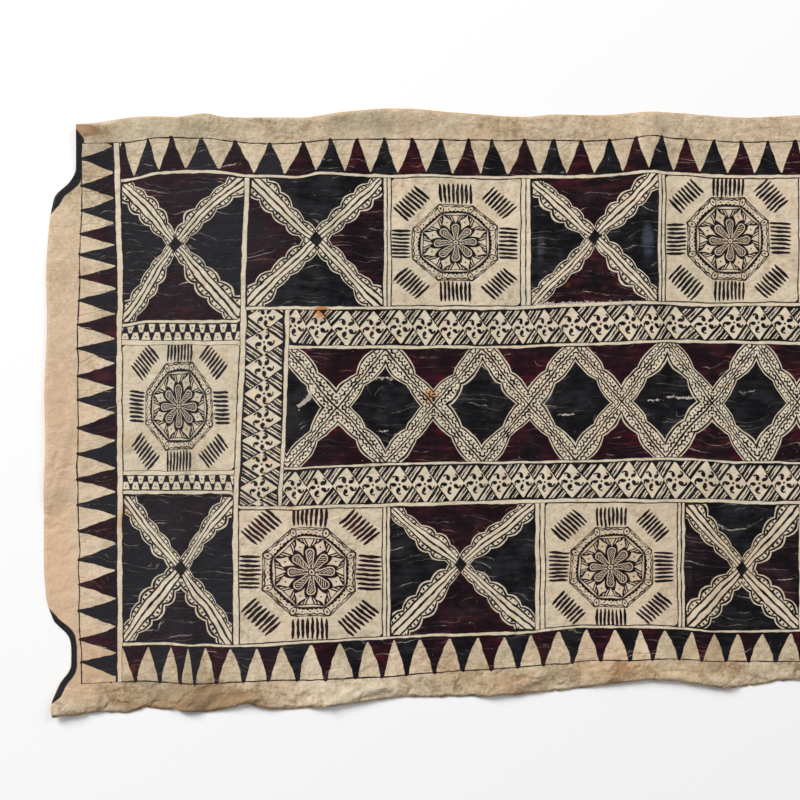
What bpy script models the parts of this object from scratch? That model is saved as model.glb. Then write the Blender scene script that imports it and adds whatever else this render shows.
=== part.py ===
"""Tapa bark cloth: one sheet of beaten bark laid out flat, with uneven edges and low folds."""

import bpy
import numpy as np

# Driving dimensions, metres. The cloth lies along X, and its painted face looks up.
CLOTH_LENGTH = 1.400
CLOTH_WIDTH = 0.760
CLOTH_THICKNESS = 0.0012

# Fineness of the sheet: cells along it and across it.
CELLS_ALONG = 70
CELLS_ACROSS = 40

BARK_COLOUR = (0.42, 0.34, 0.27, 1.0)
BARK_ROUGHNESS = 0.8

MM = 0.001

# The four edges, in millimetres. The upper and lower edges run from the left end, and the two ends run up
# from the bottom. Columns: distance along the edge, how far the cloth stops short of its full size.
UPPER_EDGE = (
    (40, 20), (132, 9), (164, 10), (199, 6), (230, 11), (320, 11), (376, 4), (439, 0), (520, 5),
    (601, 10), (635, 7), (695, 8), (760, 4), (882, 11), (982, 6), (1082, 9), (1182, 5), (1282, 9),
    (1400, 19),
)
LOWER_EDGE = (
    (0, 0), (16, 0), (70, 6), (101, 5), (132, 10), (195, 6), (257, 15), (288, 10), (320, 10), (382, 17),
    (445, 24), (570, 26), (664, 35), (758, 46), (789, 45), (851, 36), (932, 45), (1057, 36), (1120, 41),
    (1270, 34), (1400, 27),
)
LEFT_END = (
    (0, 11), (9, 9), (39, 19), (65, 34), (84, 34), (98, 32), (122, 11), (155, 2), (200, 0), (275, 0),
    (346, 2), (402, 1), (496, 4), (552, 3), (609, 6), (649, 13), (671, 34), (684, 40), (740, 41),
)
RIGHT_END = (
    (27, 4), (90, 6), (170, 2), (260, 0), (330, 0), (420, 3), (520, 1), (600, 4), (741, 5),
)

# Low ridges that the folded cloth kept, in millimetres from the lower left corner. Columns: x and y at
# the start, x and y at the end, half width, height at the start, height at the end.
FOLDS = (
    (178, 4, 160, 490, 30, 4.5, 1.0),
    (352, 752, 355, 500, 28, 3.0, 0.0),
    (758, 756, 776, 250, 30, 4.0, 0.0),
    (830, 30, 816, 420, 28, 4.0, 0.0),
    (1076, 752, 1088, 30, 30, 3.0, 2.5),
    (352, 10, 450, 48, 28, 5.0, 1.5),
    (560, 24, 640, 62, 26, 4.0, 1.5),
    (700, 52, 850, 40, 26, 3.0, 4.5),
    (1150, 40, 1250, 54, 28, 4.0, 1.0),
    (380, 758, 470, 752, 28, 3.0, 4.0),
    (1000, 752, 1090, 746, 28, 3.5, 1.5),
    (0, 560, 8, 280, 32, 2.0, 3.5),
)

# Corners and edges that curl up a little, in millimetres. Columns: centre x and y, reach, height.
CURLS = (
    (34, 742, 85, 7.0),
    (4, 2, 90, 6.0),
    (1402, 740, 95, 6.0),
    (1402, 22, 90, 5.0),
    (215, 762, 60, 3.0),
    (255, 4, 60, 4.0),
)


def curve_through(table, at):
    """Smooth curve through the table's rows: cubic stretches, level at each crest and hollow. Elsewhere a
    row's slope is the harmonic mean of the slopes on its two sides, so the curve never overshoots."""
    knots, values = np.array(table, dtype=float).T
    rises = np.diff(values) / np.diff(knots)
    both = rises[:-1] * rises[1:]
    total = rises[:-1] + rises[1:]
    slopes = np.zeros_like(values)
    slopes[1:-1] = np.where(both > 0, 2 * both / np.where(both > 0, total, 1.0), 0.0)
    before = np.clip(np.searchsorted(knots, at) - 1, 0, len(knots) - 2)
    span = knots[before + 1] - knots[before]
    t = np.clip((at - knots[before]) / span, 0.0, 1.0)
    start = (2 * t**3 - 3 * t**2 + 1) * values[before] + (t**3 - 2 * t**2 + t) * span * slopes[before]
    end = (3 * t**2 - 2 * t**3) * values[before + 1] + (t**3 - t**2) * span * slopes[before + 1]
    return start + end


def place_between_edges(u, v):
    """Point at the fraction u along and v across the sheet, between its four edges, in millimetres."""
    length = CLOTH_LENGTH / MM
    width = CLOTH_WIDTH / MM
    foot = LOWER_EDGE[0][1]
    head = width - UPPER_EDGE[0][1]
    rise = foot + v * (head - foot)
    left = curve_through(LEFT_END, rise)
    right = length - curve_through(RIGHT_END, rise)
    x = left + u * (right - left)
    low = curve_through(LOWER_EDGE, x)
    high = width - curve_through(UPPER_EDGE, x)
    return x, low + v * (high - low)


def soft_bump(distance, reach):
    """Height from 1 at no distance to 0 at the reach and beyond, along half a cosine wave."""
    return 0.5 + 0.5 * np.cos(np.pi * np.clip(distance / reach, 0.0, 1.0))


def lift_of_the_cloth(x, y):
    """How far the underside stands off the surface, in millimetres: 0 where no fold or curl reaches."""
    lift = np.zeros_like(x)
    for x0, y0, x1, y1, half_width, height_0, height_1 in FOLDS:
        run_x, run_y = x1 - x0, y1 - y0
        along = ((x - x0) * run_x + (y - y0) * run_y) / (run_x**2 + run_y**2)
        along = np.clip(along, 0.0, 1.0)
        away = np.hypot(x - x0 - along * run_x, y - y0 - along * run_y)
        height = height_0 + along * (height_1 - height_0)
        lift = np.maximum(lift, height * soft_bump(away, half_width))
    for x0, y0, reach, height in CURLS:
        lift = np.maximum(lift, height * soft_bump(np.hypot(x - x0, y - y0), reach))
    return lift


def clear_scene():
    """Remove every object that is in the scene."""
    for thing in list(bpy.data.objects):
        bpy.data.objects.remove(thing, do_unlink=True)


def make_bark_material():
    """Plain bark colour for the whole sheet."""
    material = bpy.data.materials.new("painted_bark")
    material.use_nodes = True
    shader = material.node_tree.nodes["Principled BSDF"]
    shader.inputs["Base Color"].default_value = BARK_COLOUR
    shader.inputs["Roughness"].default_value = BARK_ROUGHNESS
    shader.inputs["Metallic"].default_value = 0.0
    return material


def make_bark_cloth(collection):
    """A flat grid whose points move to their places between the edges and onto the folds, then thickened."""
    bpy.ops.mesh.primitive_grid_add(x_subdivisions=CELLS_ALONG, y_subdivisions=CELLS_ACROSS, size=1.0)
    cloth = bpy.context.object
    cloth.name = "bark_cloth"
    cloth.data.name = "bark_cloth"
    for holder in list(cloth.users_collection):
        holder.objects.unlink(cloth)
    collection.objects.link(cloth)

    points = np.empty(len(cloth.data.vertices) * 3)
    cloth.data.vertices.foreach_get("co", points)
    points = points.reshape(-1, 3)
    x, y = place_between_edges(points[:, 0] + 0.5, points[:, 1] + 0.5)
    points[:, 0] = x * MM - CLOTH_LENGTH / 2
    points[:, 1] = y * MM - CLOTH_WIDTH / 2
    points[:, 2] = lift_of_the_cloth(x, y) * MM
    cloth.data.vertices.foreach_set("co", points.ravel())
    cloth.data.update()

    thicken = cloth.modifiers.new("sheet thickness", "SOLIDIFY")
    thicken.thickness = CLOTH_THICKNESS
    thicken.offset = 1.0
    cloth.data.materials.append(make_bark_material())
    return cloth


def main():
    clear_scene()
    collection = bpy.data.collections.new("tapa bark cloth")
    bpy.context.scene.collection.children.link(collection)
    make_bark_cloth(collection)


main()
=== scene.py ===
import bpy
import numpy as np
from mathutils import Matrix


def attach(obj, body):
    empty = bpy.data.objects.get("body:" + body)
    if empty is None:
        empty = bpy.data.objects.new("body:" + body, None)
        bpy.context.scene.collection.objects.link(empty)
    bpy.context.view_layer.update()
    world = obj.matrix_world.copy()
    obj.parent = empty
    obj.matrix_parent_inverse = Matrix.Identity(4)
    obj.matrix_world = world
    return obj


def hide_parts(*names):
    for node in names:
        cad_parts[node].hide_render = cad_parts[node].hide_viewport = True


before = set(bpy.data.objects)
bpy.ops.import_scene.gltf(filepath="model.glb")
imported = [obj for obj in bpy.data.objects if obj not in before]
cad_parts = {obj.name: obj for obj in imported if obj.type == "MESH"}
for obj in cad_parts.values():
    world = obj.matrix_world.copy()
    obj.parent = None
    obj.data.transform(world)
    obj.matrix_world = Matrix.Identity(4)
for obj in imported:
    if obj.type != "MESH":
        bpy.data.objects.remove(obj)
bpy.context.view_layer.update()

# Sizes are in millimetres from the cloth's lower left corner, x along the cloth and y across it.
MM = 0.001
CLOTH_LENGTH = 1400.0
CLOTH_WIDTH = 760.0
THICKNESS = 1.0
# Faces of the painted side along the cloth and across it, and rounds in which their corners settle.
CELLS_LONG = 360
CELLS_WIDE = 200
SETTLING_ROUNDS = 7

# The four edges. Columns: distance along the edge, how far the cloth stops short of its full size.
UPPER_EDGE = (
    (40, 20), (132, 9), (164, 10), (199, 6), (230, 11), (320, 11), (376, 4), (439, 0), (520, 5),
    (601, 10), (635, 7), (695, 8), (760, 4), (882, 11), (982, 6), (1082, 9), (1182, 5), (1282, 9),
    (1400, 19),
)
LOWER_EDGE = (
    (0, 0), (16, 0), (70, 6), (101, 5), (132, 10), (195, 6), (257, 15), (288, 10), (320, 10), (382, 17),
    (445, 24), (570, 26), (664, 35), (758, 46), (789, 45), (851, 36), (932, 45), (1057, 36), (1120, 41),
    (1270, 34), (1400, 27),
)
LEFT_END = (
    (0, 11), (9, 9), (39, 19), (65, 34), (84, 34), (98, 32), (122, 11), (155, 2), (200, 0), (275, 0),
    (346, 2), (402, 1), (496, 4), (552, 3), (609, 6), (649, 13), (671, 34), (684, 40), (740, 41),
)
RIGHT_END = (
    (27, 4), (90, 6), (170, 2), (260, 0), (330, 0), (420, 3), (520, 1), (600, 4), (741, 5),
)

# Ridges and curls that the CAD sheet has too. Columns: x and y at the start, x and y at the end, half
# width, height at the start, height at the end; and centre x and y, reach, height.
FOLDS = (
    (178, 4, 160, 490, 30, 4.5, 1.0),
    (352, 752, 355, 500, 28, 3.0, 0.0),
    (758, 756, 776, 250, 30, 4.0, 0.0),
    (830, 30, 816, 420, 28, 4.0, 0.0),
    (1076, 752, 1088, 30, 30, 3.0, 2.5),
    (352, 10, 450, 48, 28, 5.0, 1.5),
    (560, 24, 640, 62, 26, 4.0, 1.5),
    (700, 52, 850, 40, 26, 3.0, 4.5),
    (1150, 40, 1250, 54, 28, 4.0, 1.0),
    (380, 758, 470, 752, 28, 3.0, 4.0),
    (1000, 752, 1090, 746, 28, 3.5, 1.5),
    (0, 560, 8, 280, 32, 2.0, 3.5),
)
CURLS = (
    (34, 742, 85, 7.0),
    (4, 2, 90, 6.0),
    (1402, 740, 95, 6.0),
    (1402, 22, 90, 5.0),
    (215, 762, 60, 3.0),
    (255, 4, 60, 4.0),
)

# Small creases of the dried bark. Columns: x and y at the start, x and y at the end, half width, height.
CREASES = (
    (176, 250, 182, 470, 6, 0.8),
    (190, 20, 186, 240, 5, 0.7),
    (64, 12, 78, 40, 5, 1.2),
    (184, 14, 214, 32, 6, 1.4),
    (243, 18, 272, 26, 5, 1.3),
    (356, 16, 400, 44, 6, 1.5),
    (405, 30, 446, 40, 5, 1.1),
    (470, 34, 520, 50, 6, 0.9),
    (690, 40, 745, 62, 7, 1.4),
    (780, 52, 830, 46, 6, 1.2),
    (820, 42, 860, 48, 5, 1.1),
    (30, 110, 92, 96, 7, 0.8),
    (20, 300, 46, 440, 8, 0.7),
    (110, 735, 160, 728, 6, 0.8),
    (300, 742, 380, 750, 6, 0.9),
    (560, 740, 660, 735, 7, 0.7),
    (758, 395, 812, 398, 4, 0.9),
    (420, 470, 470, 455, 4, 0.5),
    (620, 512, 744, 517, 5, 0.6),
    (452, 560, 446, 700, 6, 0.6),
    (900, 60, 1000, 66, 7, 1.1),
    (1180, 50, 1240, 60, 6, 1.0),
    (66, 8, 64, 38, 5, 1.3),
    (64, 36, 76, 48, 5, 1.0),
    (174, 18, 204, 42, 6, 1.6),
    (202, 40, 212, 62, 5, 1.2),
    (188, 10, 224, 36, 6, 1.5),
    (208, 28, 254, 35, 5, 1.4),
    (256, 36, 274, 18, 6, 1.4),
    (236, 20, 280, 24, 5, 1.2),
    (120, 12, 146, 34, 6, 1.0),
    (358, 4, 350, 44, 5, 1.6),
    (380, 20, 410, 37, 5, 1.5),
    (408, 36, 430, 39, 5, 1.2),
    (432, 26, 462, 42, 5, 1.5),
    (300, 16, 336, 40, 6, 1.1),
    (544, 47, 572, 33, 6, 1.2),
    (590, 32, 630, 58, 6, 1.6),
    (606, 28, 650, 44, 5, 1.2),
    (662, 58, 688, 40, 6, 1.6),
    (680, 62, 746, 56, 5, 1.4),
    (744, 67, 782, 50, 6, 1.5),
    (650, 50, 720, 44, 5, 1.2),
    (1000, 44, 1040, 64, 6, 1.3),
    (1300, 34, 1340, 58, 6, 1.4),
)

# Strips between the lines along which the cloth was once folded. Columns: where the strip starts, how much
# lighter and how much more grey it is. The steps in lightness, lighter and darker in turn, are painted
# shade of the panels between the folds; the grey is the bark's own tint.
STRIPS = (
    (0, 0.06, -0.10), (135, -0.10, 0.08), (192, 0.10, 0.0), (352, -0.14, 0.28), (435, 0.12, -0.12),
    (464, -0.04, 0.05), (600, 0.08, 0.0), (764, -0.10, 0.12), (850, 0.06, -0.05), (1080, -0.08, 0.10),
    (1240, 0.05, -0.08),
)

# Lines that run along the cloth. Columns: name, half width, then pairs of x and y.
LONG_LINES = {
    "lower frame": (0, (
        (48, 42), (120, 45), (195, 42), (232, 42.5), (270, 44.5), (345, 46), (395, 49), (432, 51),
        (470, 54.5), (520, 57), (570, 60), (620, 64.5), (695, 70), (745, 71), (782, 73), (820, 70.5),
        (882, 69), (1008, 70), (1145, 68), (1358, 70))),
    "lower line": (2.3, (
        (98, 90.5), (132, 92), (182, 90), (232, 88.5), (270, 89.5), (314, 92.5), (370, 95.5),
        (432, 99), (482, 101.5), (532, 103), (582, 104.5), (620, 107), (658, 112), (758, 112.5),
        (795, 110.5), (851, 106.5), (1008, 108), (1145, 106), (1308, 107.5))),
    "line over lower cells": (2.7, (
        (96, 280.5), (234, 280.5), (245, 261), (308, 261.5), (370, 263), (445, 265), (508, 267),
        (608, 269.5), (658, 270.5), (820, 270.5), (882, 268), (1008, 267.5), (1141, 269), (1149, 280),
        (1308, 281))),
    "line under lattice": (2.1, (
        (96, 305), (235, 305), (246, 310), (308, 310.5), (370, 313.5), (445, 316), (508, 317.5),
        (620, 318.5), (695, 320), (758, 322), (808, 322), (864, 318), (1008, 317.5), (1141, 318),
        (1149, 306), (1308, 305))),
    "line over lattice": (2.5, (
        (96, 467.5), (242, 467.5), (254, 462), (582, 462), (620, 464), (695, 466), (770, 469.5),
        (882, 468), (1008, 467), (1141, 467.5), (1149, 469), (1308, 467.5))),
    "line under cells": (2.6, (
        (96, 490), (132, 494), (195, 494.5), (242, 494.5), (254, 510.5), (320, 511), (582, 511),
        (620, 512.5), (670, 514.5), (720, 517), (758, 518.5), (776, 517), (820, 515.5), (882, 515.5),
        (1008, 514.5), (1141, 515), (1149, 495), (1308, 494))),
    "upper line": (2.4, (
        (96, 670), (120, 674.5), (139, 679.5), (182, 681.5), (220, 680.5), (251, 676.5), (320, 675),
        (345, 679), (420, 676), (482, 677), (520, 675), (570, 674), (620, 675), (658, 675),
        (695, 676), (720, 678), (758, 681.5), (782, 679.5), (820, 677), (882, 675), (995, 677),
        (1108, 675), (1220, 677.5), (1308, 676))),
    "upper frame": (0, (
        (48, 716), (98, 717), (145, 724), (195, 723), (251, 718), (282, 716), (358, 720.5),
        (445, 722), (570, 720), (695, 720.5), (732, 722.5), (760, 725.5), (795, 722), (882, 718),
        (970, 720), (1070, 718), (1170, 720.5), (1270, 719), (1358, 720))),
}

# Lines that run across the cloth. Columns: name, half width, then pairs of y and x.
CROSS_LINES = {
    "left frame": (0, (
        (42, 47.5), (96, 45.5), (146, 44), (221, 44), (246, 42.5), (296, 42), (359, 42), (396, 42.5),
        (484, 42.5), (521, 44), (559, 45), (596, 46), (646, 47.5), (715, 47.5))),
    "left line": (3.9, (
        (45, 94.5), (146, 95), (309, 95), (396, 94), (484, 94), (521, 95), (559, 95), (596, 94),
        (646, 92.5), (715, 91))),
    "column line": (3.8, (
        (96, 240), (196, 239), (271, 240), (334, 242.5), (396, 245), (465, 249), (534, 249),
        (584, 250.5), (621, 252.5), (671, 254))),
    "lattice left": (3.1, ((265, 295), (309, 297), (359, 299.5), (459, 303), (508, 304))),
    "bars one": (5.3, ((96, 428), (261, 428), (515, 429), (671, 429))),
    "bars two": (6.6, ((102, 620), (265, 620), (515, 602.5), (674, 602.5))),
    "bars three": (4.8, ((111, 796.5), (271, 796.5), (518, 772), (681, 772))),
    "bars four": (5.2, ((109, 948), (268, 948), (515, 948), (676, 948))),
    "lattice right": (3.1, ((268, 1090.5), (371, 1092), (508, 1090))),
    "far column line": (3.8, (
        (106, 1146), (246, 1144), (371, 1142.5), (521, 1145), (675, 1146))),
    "right line": (3.9, (
        (69, 1307.5), (196, 1306), (371, 1309), (521, 1306), (720, 1307.5))),
    "right frame": (0, (
        (69, 1357.5), (196, 1359), (371, 1356), (546, 1359), (720, 1357.5))),
}

# Tips of the teeth. Columns: places along the cloth, or up it, and whether the first tooth is maroon.
TEETH = {
    "upper": ((98, 129, 158, 199, 239, 282, 322, 358, 392, 425, 460, 494, 531, 560, 600, 638, 670, 706,
               741, 772, 802, 839, 871, 905, 940, 973, 1007, 1042, 1076, 1108, 1143, 1178, 1210, 1245,
               1279, 1312), 1),
    "lower": ((84, 114, 144, 172, 189, 216, 250, 280, 315, 352, 389, 421, 452, 489, 525, 559, 592, 625,
               661, 696, 731, 760, 795, 822, 852, 881, 915, 949, 983, 1018, 1050, 1085, 1118, 1152,
               1187, 1220, 1254, 1288, 1320), 0),
    "left": ((34, 68, 96, 132, 165, 196, 234, 265, 296, 329, 362, 396, 426, 460, 490, 519, 549, 579, 604,
              632, 664, 696, 730), 1),
    "right": ((55, 87, 118, 151, 184, 215, 249, 282, 314, 348, 380, 413, 446, 478, 511, 545, 577, 610,
               643, 675, 708, 738), 1),
}

# Shape of the teeth. Columns: how hollow their sides are, how blunt their tips are, and the number from
# which they are drawn, which leaves out the first one at the left end.
TOOTH_SHAPES = {
    "left": (1.15, 0.060, 0.5),
    "right": (1.15, 0.060, -2.0),
    "upper": (1.12, 0.060, -2.0),
    "lower": (1.42, 0.078, -2.0),
}

# Middles of the lozenges in the pinwheel bands, and the tips between the diamonds of the lattice, with the
# mean pitch of each, to which its drawing is scaled.
LOZENGES = {
    "along": (280, 314, 342, 378, 412, 445, 476, 508, 540, 570, 599, 626, 659, 696, 731, 760, 789, 828,
              862, 894, 926, 959, 991, 1024, 1056, 1088, 1120),
    "up": (258, 286, 315, 344, 372, 404, 436, 470, 500, 530),
}
LATTICE_TIPS = (303.75, 427.5, 547, 664.5, 778, 891, 991, 1091)
LOZENGE_PITCH_ALONG = 32.2
LOZENGE_PITCH_UP = 30.5
LATTICE_PITCH = 117.0

# Cells with a cross. Columns: left, right, lower and upper line, middle x and y, how maroon its upper and
# lower fields are, how maroon its side fields are.
CROSSES = (
    ("left line", "column line", "line under cells", "upper line", 162.5, 589, 0.75, 0.0),
    ("column line", "bars one", "line under cells", "upper line", 340, 596, 0.0, 0.8),
    ("bars two", "bars three", "line under cells", "upper line", 689, 600, 0.9, 0.0),
    ("bars four", "far column line", "line under cells", "upper line", 1045, 596, 0.0, 0.8),
    ("far column line", "right line", "line under cells", "upper line", 1226, 586, 0.8, 0.0),
    ("left line", "column line", "lower line", "line over lower cells", 171, 187.5, 0.3, 0.0),
    ("bars one", "bars two", "lower line", "line over lower cells", 520, 190, 0.85, 0.0),
    ("bars three", "bars four", "lower line", "line over lower cells", 872.5, 186, 0.0, 0.45),
    ("far column line", "right line", "lower line", "line over lower cells", 1226, 187.5, 0.75, 0.0),
)

# Cells with a rosette. Columns: left, right, lower and upper line, middle x and y, half width and half
# height of its octagon, how maroon it is.
ROSETTES = (
    ("bars one", "bars two", "line under cells", "upper line", 514, 592.5, 53, 48, 0.0),
    ("bars three", "bars four", "line under cells", "upper line", 856, 597.5, 51.5, 52, 0.1),
    ("left line", "column line", "line under lattice", "line over lattice", 169, 387.5, 41.5, 54, 0.0),
    ("far column line", "right line", "line under lattice", "line over lattice", 1226, 387.5, 45, 54, 0.1),
    ("column line", "bars one", "lower line", "line over lower cells", 332.5, 181, 59, 54.5, 0.8),
    ("bars two", "bars three", "lower line", "line over lower cells", 709, 187.5, 51.5, 49.5, 0.25),
    ("bars four", "far column line", "lower line", "line over lower cells", 1045, 187.5, 52.5, 50, 0.0),
)
OCTAGON = 52.0

# Light, stained and greyed patches. Columns: x, y, reach along, reach across, lighter, stained, greyer.
# On the black dye a greyer value over 0.9 paints a bluish sheen, streaked by the brush.
PATCHES = (
    (15, 380, 60, 420, 0.55, 0.15, -0.6),
    (51, 733, 16, 11, -3.4, 0.15, -0.55),
    (60, 728, 16, 9, -1.4, 0.0, -0.2),
    (74, 743, 24, 5, 2.2, 0.0, 0.0),
    (70, 720, 55, 40, -0.9, 0.05, 0.35),
    (104, 722, 24, 12, 0.9, 0.0, 0.3),
    (170, 728, 110, 40, -0.7, 0.0, 0.2),
    (340, 735, 110, 32, -0.2, 0.0, 0.15),
    (200, 430, 170, 240, 0.35, 0.0, 0.1),
    (330, 170, 90, 80, 0.35, 0.0, 0.0),
    (833, 598, 80, 80, 0.45, 0.0, 0.0),
    (18, 190, 34, 110, 0.7, 0.10, -0.6),
    (600, 735, 230, 40, -0.25, 0.12, 0.0),
    (40, 665, 40, 40, -0.4, 0.0, 0.2),
    (346, 508, 12, 12, 0.0, 1.7, 0.0),
    (484, 402, 12, 10, 0.0, 1.4, 0.0),
    (655, 540, 6, 6, -0.2, 1.1, 0.0),
    (701, 536, 5, 5, 0.0, 0.9, 0.0),
    (395, 428, 5, 8, 0.0, 0.7, 0.0),
    # These three rows are painted sheen on the black dye.
    (753, 596, 11, 34, 0.0, 0.0, 2.3),
    (622, 586, 10, 34, 0.0, 0.0, 2.1),
    (626, 396, 20, 14, 0.0, 0.0, 1.9),
    (100, 246, 10, 24, -0.2, 0.9, 0.0),
    (310, 263, 9, 4, 0.0, 1.1, 0.0),
    (112, 60, 5, 10, 0.0, 0.9, 0.0),
    (107, 346, 18, 14, -0.5, 0.3, 0.4),
    (400, 744, 36, 22, -0.4, 0.0, 0.9),
    (150, 736, 60, 20, -0.2, 0.0, 0.5),
    (180, 20, 130, 30, -3.1, 0.14, 0.15),
    (150, 10, 70, 12, -0.8, 0.2, 0.0),
    (60, 60, 60, 60, -0.1, 0.3, -0.3),
    (170, 66, 80, 34, -0.5, 0.12, 0.1),
    (530, 56, 90, 60, -0.5, 0.16, 0.0),
    (700, 78, 110, 40, 0.35, 0.14, -0.35),
    (835, 72, 70, 50, -0.35, 0.18, 0.0),
    (400, 28, 70, 24, 1.5, 0.0, 0.1),
    (720, 52, 110, 26, -1.4, 0.2, 0.1),
    (590, 46, 50, 20, -0.5, 0.2, 0.1),
    (250, 20, 40, 26, -0.5, 0.1, 0.3),
    (480, 592, 70, 70, 0.0, 0.0, 0.5),
    (700, 190, 90, 80, -0.1, 0.22, 0.0),
    (850, 185, 90, 110, -0.5, 0.28, 0.0),
    (530, 178, 80, 80, 0.0, 0.10, 0.0),
    (330, 180, 80, 70, 0.4, 0.0, -0.1),
    (170, 390, 75, 100, 0.15, 0.0, 0.5),
    (165, 590, 90, 110, 0.1, 0.0, 0.5),
    (275, 400, 45, 160, 0.2, 0.0, 0.35),
    (350, 590, 90, 90, 0.1, 0.0, 0.3),
    (740, 600, 120, 110, 0.0, 0.06, -0.1),
    (640, 400, 200, 90, 0.25, 0.10, -0.2),
    (860, 590, 60, 60, 0.0, 0.1, 0.0),
    (560, 488, 220, 20, 0.15, 0.0, 0.3),
    (1250, 300, 160, 300, 0.1, 0.1, 0.0),
    (1390, 380, 40, 360, 0.2, 0.2, -0.3),
)

# Places where the dye is rubbed off. Columns: x and y at the start, x and y at the end, half width, share.
RUBBED = (
    (614, 515, 745, 518, 4, 0.75),
    (754, 395, 786, 401, 2.2, 0.72),
    (786, 401, 820, 400, 2.3, 0.92),
    (639, 379, 661, 377, 2.2, 0.62),
    (407, 422, 448, 424, 3, 0.75),
    (420, 358, 446, 352, 2.5, 0.6),
    (319, 388, 330, 397, 4, 1.0),
    (330, 397, 336, 414, 3.5, 1.0),
    (596, 562, 604, 560, 3, 0.6),
)

# Colours, as shares of light given back.
BARK_PALE = (0.70, 0.575, 0.425)
BARK_MID = (0.475, 0.375, 0.250)
BARK_DEEP = (0.27, 0.175, 0.10)
BARK_GREY = (0.43, 0.395, 0.275)
BARK_PINK = (0.72, 0.50, 0.345)
BARK_CREAM = (0.705, 0.638, 0.490)
STAIN = (0.50, 0.225, 0.075)
BLACK_DYE = (0.0052, 0.0046, 0.0058)
# Worn black dye, which also gives the painted sheen towards the left end.
BLACK_WEAR_AND_SHEEN = (0.0215, 0.0200, 0.0235)
MAROON_DYE = (0.0165, 0.0042, 0.0074)
MAROON_BRIGHT = (0.082, 0.0098, 0.0142)
# Greyed maroon: a painted sheen on the maroon dye towards the left end.
MAROON_SHEEN = (0.046, 0.031, 0.036)
MAROON_LIT = (0.20, 0.045, 0.014)
# A painted bluish sheen on the black dye.
BLACK_SHEEN = (0.044, 0.052, 0.070)
# Bare bark where the dye is rubbed or flaked off, and the colour of painted glints on the dye's creases.
BARED_AND_GLINTS = (0.42, 0.37, 0.31)
# How much creamier the bark is between the lines of some drawings than in the margin.
CREAM = {
    "plain line": 0.75, "cross": 0.88, "lattice": 0.95, "pinwheels": 0.76, "rosette": 0.34, "steps": 0.66,
    "teeth": 0.10,
}
FLOOR_COLOUR = (0.95, 0.95, 0.95, 1.0)

# Half width of the soft edge of a drawn line, in the units of its own drawing.
SOFT = 0.36
BARK_SPECULAR = 0.09
BUMP_STRENGTH = 0.85
BUMP_DISTANCE = 0.0012
SKY_STRENGTH = 0.30

# Sockets of the mix node: the share, the colours it goes from and to, and the colour it gives.
MIX_SHARE, MIX_START, MIX_END, MIX_RESULT = 0, 6, 7, 2


def curve_through(table, at):
    """Smooth curve through the table's rows: cubic stretches, level at each crest and hollow. Elsewhere a
    row's slope is the harmonic mean of the slopes on its two sides, so the curve never overshoots."""
    knots, values = np.array(table, dtype=float).T
    rises = np.diff(values) / np.diff(knots)
    both = rises[:-1] * rises[1:]
    total = rises[:-1] + rises[1:]
    slopes = np.zeros_like(values)
    slopes[1:-1] = np.where(both > 0, 2 * both / np.where(both > 0, total, 1.0), 0.0)
    before = np.clip(np.searchsorted(knots, at) - 1, 0, len(knots) - 2)
    span = knots[before + 1] - knots[before]
    t = np.clip((at - knots[before]) / span, 0.0, 1.0)
    start = (2 * t**3 - 3 * t**2 + 1) * values[before] + (t**3 - 2 * t**2 + t) * span * slopes[before]
    end = (3 * t**2 - 2 * t**3) * values[before + 1] + (t**3 - t**2) * span * slopes[before + 1]
    return start + end


def soft_bump(distance, reach):
    """Height from 1 at no distance to 0 at the reach and beyond, along half a cosine wave."""
    return 0.5 + 0.5 * np.cos(np.pi * np.clip(distance / reach, 0.0, 1.0))


def rolling(x, y, pitch_x, pitch_y, seed):
    """Smooth unevenness from -1 to 1: random heights on a lattice of the given pitch, joined by smooth
    steps between its points."""
    table = np.random.default_rng(seed).uniform(-1, 1, (256, 256))
    u, v = x / pitch_x + 100.0, y / pitch_y + 100.0
    i, j = np.floor(u).astype(int), np.floor(v).astype(int)
    s, t = u - i, v - j
    s, t = s * s * (3 - 2 * s), t * t * (3 - 2 * t)
    i, j = i % 255, j % 255
    low = table[i, j] * (1 - s) + table[i + 1, j] * s
    high = table[i, j + 1] * (1 - s) + table[i + 1, j + 1] * s
    return low * (1 - t) + high * t


def along_segment(x, y, x0, y0, x1, y1):
    """Share of the way from the start to the end of the nearest point on a segment, and the distance."""
    run_x, run_y = x1 - x0, y1 - y0
    share = np.clip(((x - x0) * run_x + (y - y0) * run_y) / (run_x**2 + run_y**2), 0.0, 1.0)
    return share, np.hypot(x - x0 - share * run_x, y - y0 - share * run_y)


def lift_of_the_cloth(x, y):
    """How far the underside stands off the surface: the highest of the ridges and curls, plus creases
    that fade at both ends, and a slight roll of the dried bark that is never below nothing."""
    lift = np.zeros_like(x)
    for x0, y0, x1, y1, half_width, height_0, height_1 in FOLDS:
        share, away = along_segment(x, y, x0, y0, x1, y1)
        lift = np.maximum(lift, (height_0 + share * (height_1 - height_0)) * soft_bump(away, half_width))
    for x0, y0, reach, height in CURLS:
        lift = np.maximum(lift, height * soft_bump(np.hypot(x - x0, y - y0), reach))
    wander = 2.5 * rolling(x, y, 22, 22, 5)
    for x0, y0, x1, y1, half_width, height in CREASES:
        share, away = along_segment(x + wander, y + wander, x0, y0, x1, y1)
        fade = np.sin(np.pi * np.clip(share * 0.9 + 0.05, 0, 1)) ** 0.5
        lift = lift + height * fade * soft_bump(away, half_width)
    roll = 0.28 * rolling(x, y, 60, 45, 11) + 0.22 * rolling(x, y, 24, 17, 12)
    return lift + np.maximum(roll, 0.0)


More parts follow.
